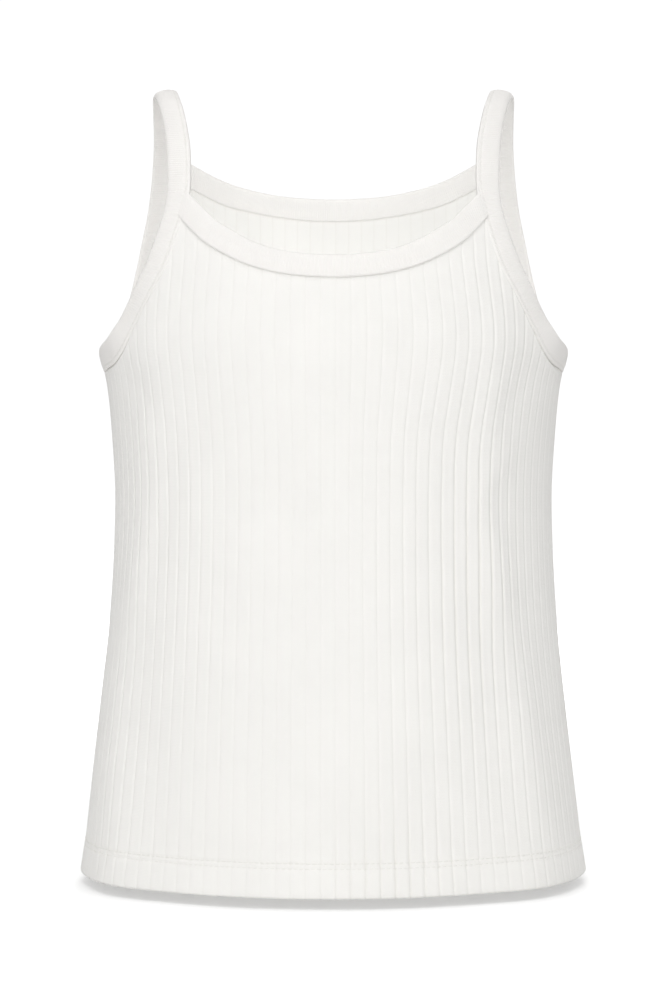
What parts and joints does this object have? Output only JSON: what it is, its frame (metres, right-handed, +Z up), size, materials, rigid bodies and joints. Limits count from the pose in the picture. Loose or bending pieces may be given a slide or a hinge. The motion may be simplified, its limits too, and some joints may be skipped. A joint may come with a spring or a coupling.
{
  "type": "tank top",
  "caption": "Sleeveless ribbed child's top on bound shoulder straps, hollow and filled out as worn, open at neck, armholes and hem.",
  "frame": {"origin": "midway between the two straps, level with their undersides where they lie on the wearer's shoulders", "axes": "+Z up, the front of the garment faces -Y, the wearer's left is +X"},
  "size_m": [0.2594, 0.188, 0.4051],
  "materials": {
    "rib_knit": "matte off-white wide-rib cotton jersey",
    "band_knit": "matte off-white fine-rib cotton binding"
  },
  "bodies": {
    "root": {"front_panel": "rib_knit", "back_panel": "rib_knit", "neck_band_front": "band_knit", "neck_band_back": "band_knit", "strap_left": "band_knit", "strap_right": "band_knit"}
  },
  "joints": []
}
